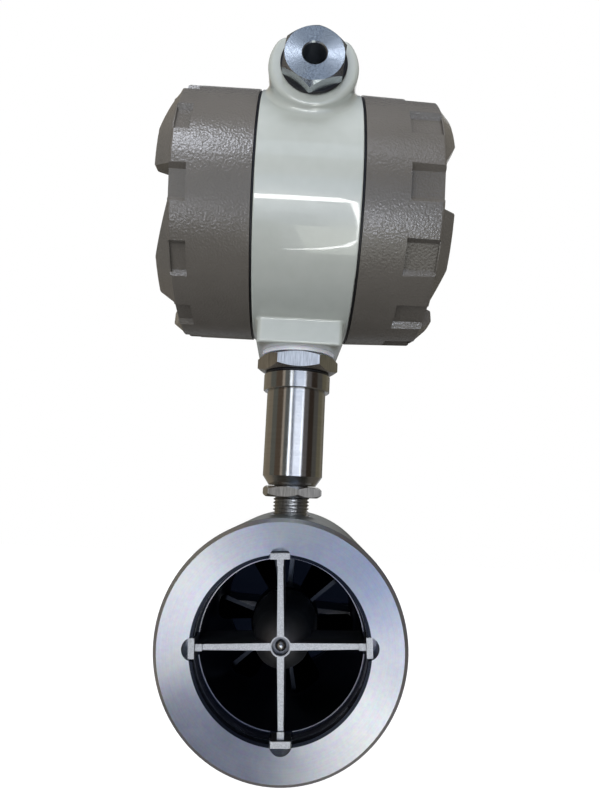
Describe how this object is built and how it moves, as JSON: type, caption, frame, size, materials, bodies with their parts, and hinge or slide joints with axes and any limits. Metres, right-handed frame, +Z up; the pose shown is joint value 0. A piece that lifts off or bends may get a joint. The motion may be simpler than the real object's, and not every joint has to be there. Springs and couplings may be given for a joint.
{
  "type": "wafer turbine flow sensor",
  "caption": "Wafer-mounted turbine flow sensor with straightening guides, a helical rotor, a pickup neck and a two-chamber electronics head.",
  "frame": {"origin": "the point where the flow axis and the neck axis cross, halfway between the two pipe faces", "axes": "+Y along the flow from inlet to outlet, +Z up the neck to the head, +X to the right seen from the inlet"},
  "size_m": [0.1241, 0.1228, 0.2833],
  "materials": {
    "faced_stainless": "turned and faced stainless steel, fine concentric tool marks",
    "cast_stainless": "investment-cast stainless steel, bead-blasted",
    "rotor_steel": "ferritic stainless steel, dull",
    "polished_stainless": "turned and polished stainless steel",
    "nut_stainless": "machined stainless hexagon bar",
    "gland_stainless": "turned stainless steel, spiral tool marks on the face",
    "spring_steel": "spring steel wire",
    "hard_bearing": "filled bearing polymer",
    "light_enamel": "light grey-green enamel, glossy, on cast aluminium",
    "taupe_powder_coat": "taupe textured powder coat, semi-gloss, on cast aluminium",
    "white_ptfe": "white PTFE sheet",
    "black_rubber": "black nitrile rubber",
    "copper_coil": "enamelled copper winding",
    "magnet": "bare magnet",
    "circuit_board": "green solder mask",
    "black_plastic": "moulded black plastic",
    "terminal_green": "moulded green plastic",
    "small_fasteners": "nickel-plated brass"
  },
  "bodies": {
    "housing": {"meter_body": "faced_stainless", "inlet_guide": "cast_stainless", "outlet_guide": "cast_stainless", "inlet_snap_ring": "spring_steel", "outlet_snap_ring": "spring_steel", "inlet_dome_screw": "polished_stainless", "outlet_dome_screw": "polished_stainless", "inlet_bearing": "hard_bearing", "outlet_bearing": "hard_bearing", "pickup_housing": "nut_stainless", "pickup_core": "magnet", "pickup_coil": "copper_coil", "pickup_magnet": "magnet", "lock_nut": "nut_stainless", "neck_tube": "polished_stainless", "neck_ring": "black_rubber", "neck_adapter": "nut_stainless", "ptfe_gasket": "white_ptfe", "head_body": "light_enamel", "cable_gland": "gland_stainless", "gland_seal": "black_rubber", "gland_washer": "small_fasteners", "gland_bush": "black_rubber", "blanking_plug": "gland_stainless", "plug_seal": "black_rubber", "signal_board": "circuit_board", "board_parts": "black_plastic", "board_stand_offs": "small_fasteners", "board_screws": "small_fasteners", "terminal_block": "terminal_green", "terminal_screws": "small_fasteners", "terminal_fixings": "small_fasteners", "earth_screw": "small_fasteners"},
    "rotor_assembly": {"rotor": "rotor_steel", "rotor_shaft": "polished_stainless"},
    "left_seal_carrier": {"left_cover_seal": "black_rubber"},
    "right_seal_carrier": {"right_cover_seal": "black_rubber"},
    "left_cover": {"left_cover": "taupe_powder_coat"},
    "right_cover": {"right_cover": "taupe_powder_coat"}
  },
  "joints": [
    {"name": "rotor_spin", "type": "hinge", "parent": "housing", "child": "rotor_assembly", "pos_m": [0, 0, 0], "axis": [0, 1, 0], "continuous": true},
    {"name": "left_cover_travel", "type": "slide", "parent": "housing", "child": "left_seal_carrier", "axis": [-0.9991, -0.0419, 0], "range_m": [0, 0.012]},
    {"name": "left_cover_screw", "type": "hinge", "parent": "left_seal_carrier", "child": "left_cover", "pos_m": [0, 0, 0.1818], "axis": [-0.9991, -0.0419, 0], "range_deg": [0, 2160]},
    {"name": "right_cover_travel", "type": "slide", "parent": "housing", "child": "right_seal_carrier", "axis": [0.9991, 0.0419, 0], "range_m": [0, 0.012]},
    {"name": "right_cover_screw", "type": "hinge", "parent": "right_seal_carrier", "child": "right_cover", "pos_m": [0, 0, 0.1818], "axis": [0.9991, 0.0419, 0], "range_deg": [0, 2160]}
  ],
  "couplings": [
    {"joint": "left_cover_travel", "follows": "left_cover_screw", "m_per_rad": 0.00031831},
    {"joint": "right_cover_travel", "follows": "right_cover_screw", "m_per_rad": 0.00031831}
  ]
}
